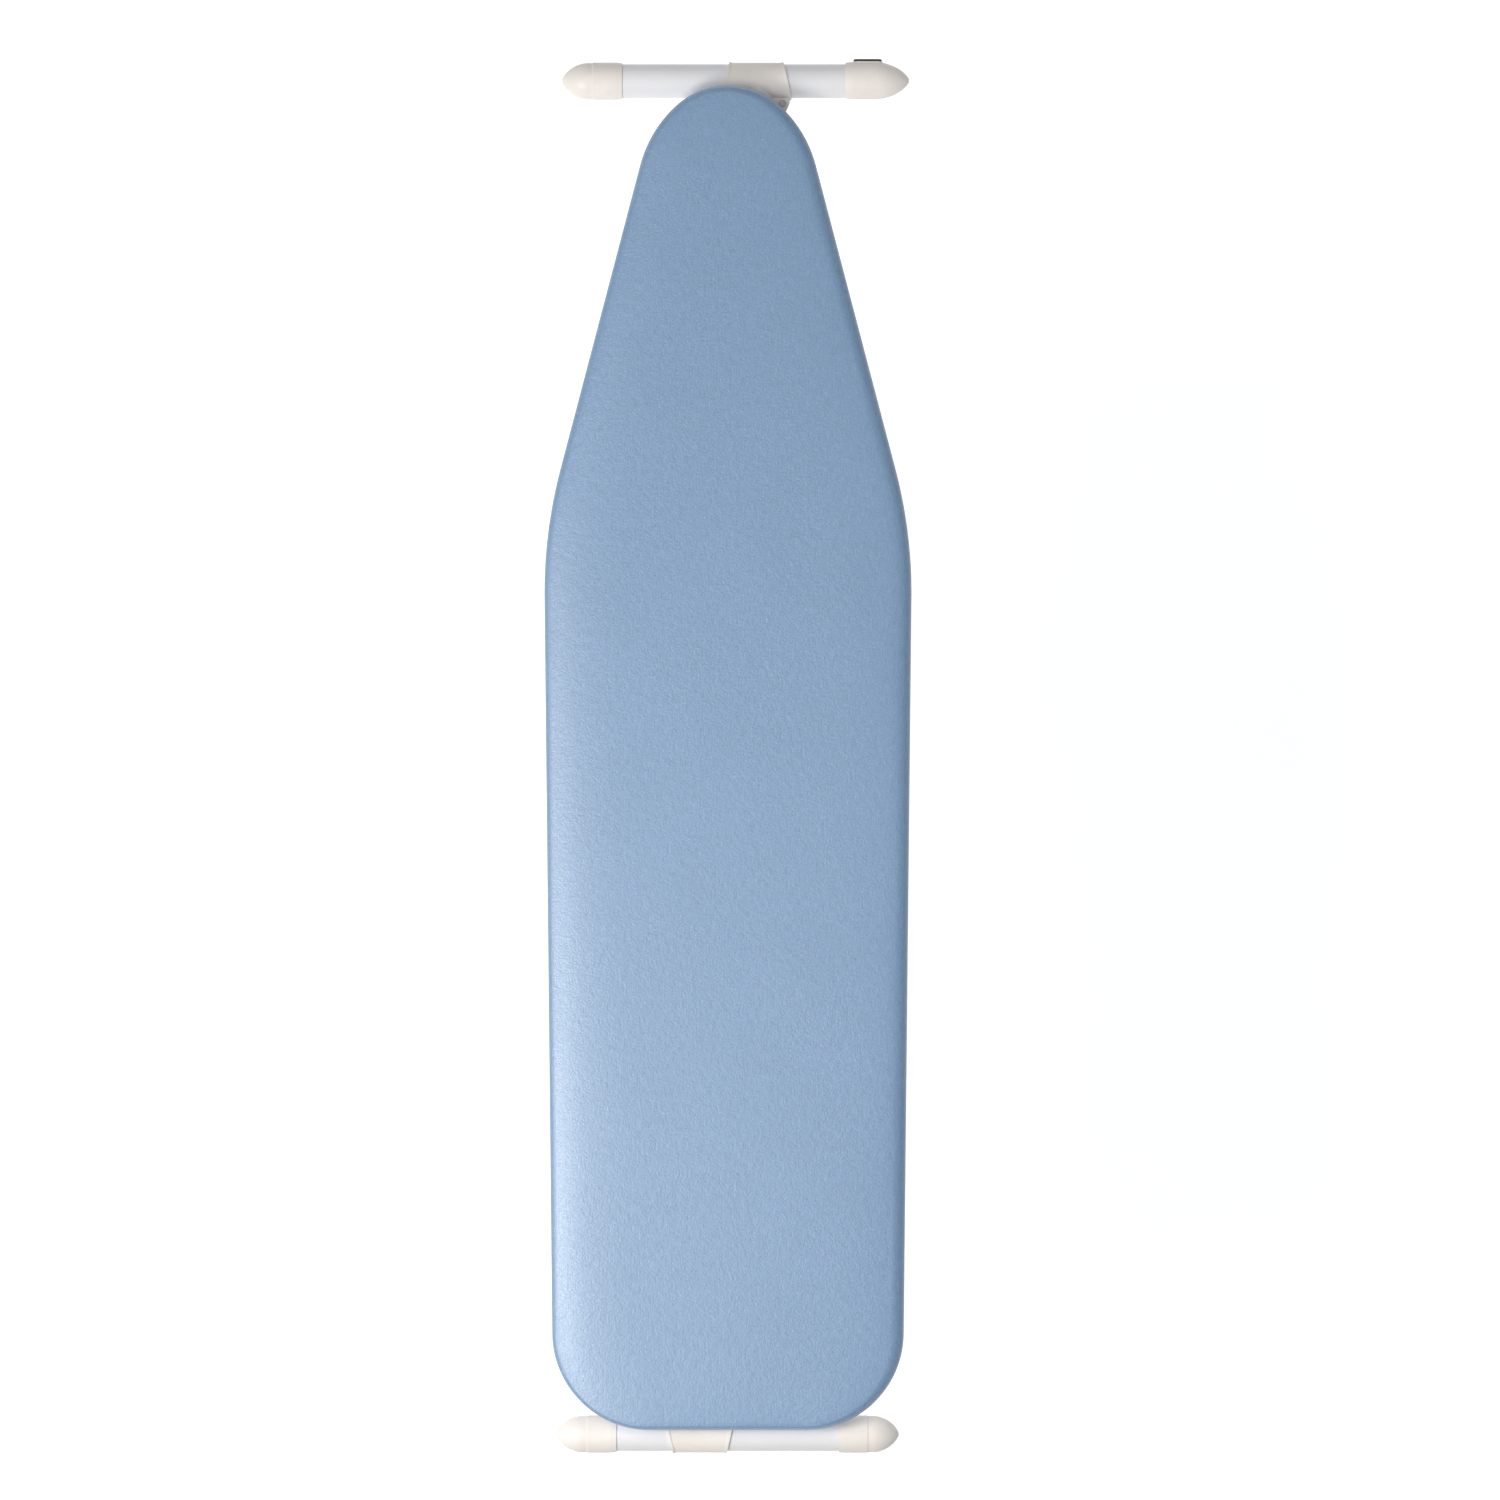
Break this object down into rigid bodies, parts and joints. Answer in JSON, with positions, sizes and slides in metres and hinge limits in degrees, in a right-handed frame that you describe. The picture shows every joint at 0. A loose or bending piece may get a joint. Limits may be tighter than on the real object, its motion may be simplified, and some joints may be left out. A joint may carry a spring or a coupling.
{
  "type": "folding ironing board",
  "caption": "Folding T-leg ironing board, folded flat: padded cloth-covered top on a perforated panel, crossed legs, lever-released height lock.",
  "frame": {"origin": "on the floor under the middle of the folded board", "axes": "+Y towards the nose, +Z out of the ironing face, +X to the right seen from above with the nose away"},
  "size_m": [0.355, 1.3534, 0.0638],
  "materials": {
    "cover_cloth": "light blue woven cotton with a slight silvery sheen",
    "foam": "matt felt and foam",
    "board_enamel": "white powder coat on sheet steel",
    "leg_enamel": "white powder coat on tube",
    "cream_plastic": "moulded, satin",
    "rubber": "moulded, matt",
    "nylon": "moulded, slightly translucent",
    "zinc": "bright zinc plate"
  },
  "bodies": {
    "board": {"cover": "cover_cloth", "foam_pad": "foam", "top_panel": "board_enamel", "edge_frame": "board_enamel", "guide_rail": "board_enamel", "cross_ribs": "board_enamel", "pivot_hanger": "zinc", "hanger_rivets": "zinc", "fold_pivot_pin": "zinc", "fold_pivot_nut": "zinc", "lock_bar_guides": "zinc", "lever_saddles": "cream_plastic", "saddle_rivets": "zinc", "lever_spring": "zinc"},
    "lever": {"release_lever": "zinc", "lever_grip": "cream_plastic", "lever_retainer": "zinc"},
    "lock_bar": {"lock_bar": "zinc"},
    "nose_leg": {"nose_leg_tube": "leg_enamel", "nose_leg_plug": "cream_plastic", "nose_cross_bush": "nylon", "nose_tee_upper": "cream_plastic", "nose_tee_lower": "cream_plastic", "nose_tee_screws": "zinc", "nose_foot_bar": "leg_enamel", "nose_foot_cap_left": "cream_plastic", "cross_pivot_bolt": "zinc", "cross_pivot_nut": "zinc", "cross_spacer": "nylon"},
    "levelling_foot": {"nose_levelling_cap": "cream_plastic", "levelling_pad": "rubber"},
    "tail_leg": {"tail_leg_tube": "leg_enamel", "tail_leg_plug": "cream_plastic", "tail_cross_bush": "nylon", "tail_tee_upper": "cream_plastic", "tail_tee_lower": "cream_plastic", "tail_tee_screws": "zinc", "tail_foot_bar": "leg_enamel", "tail_foot_cap_left": "cream_plastic", "tail_foot_cap_right": "cream_plastic"},
    "carriage": {"slider_block": "nylon", "lock_pin": "zinc", "slider_pivot_pin": "zinc", "slider_pivot_nut": "zinc", "slider_washer": "nylon"}
  },
  "joints": [
    {"name": "leg_fold", "type": "hinge", "parent": "board", "child": "nose_leg", "pos_m": [0.0275, -0.34197, 0.032], "axis": [-1, 0, 0], "range_deg": [0, 59.2]},
    {"name": "leg_cross", "type": "hinge", "parent": "nose_leg", "child": "tail_leg", "pos_m": [0, 0, 0.02728], "axis": [-1, 0, 0], "range_deg": [-118.5, 0]},
    {"name": "slider_pivot", "type": "hinge", "parent": "tail_leg", "child": "carriage", "pos_m": [0, 0.34197, 0.032], "axis": [-1, 0, 0], "range_deg": [0, 59.3]},
    {"name": "lever_squeeze", "type": "hinge", "parent": "board", "child": "lever", "pos_m": [-0.062, -0.42, 0.044], "axis": [0, -1, 0], "range_deg": [-4.2, 0], "stiffness_Nm_per_rad": 1.5, "springref_deg": -28.65},
    {"name": "lock_slide", "type": "slide", "parent": "board", "child": "lock_bar", "axis": [0, 0, 1], "range_m": [-0.00456, 0]},
    {"name": "leveller_turn", "type": "hinge", "parent": "nose_leg", "child": "levelling_foot", "pos_m": [0.14, 0.65674, 0.0182], "axis": [1, 0, 0], "continuous": true}
  ],
  "couplings": [
    {"joint": "leg_cross", "follows": "leg_fold", "ratio": -2},
    {"joint": "slider_pivot", "follows": "leg_fold", "ratio": 1},
    {"joint": "lock_slide", "follows": "lever_squeeze", "m_per_rad": 0.062}
  ]
}
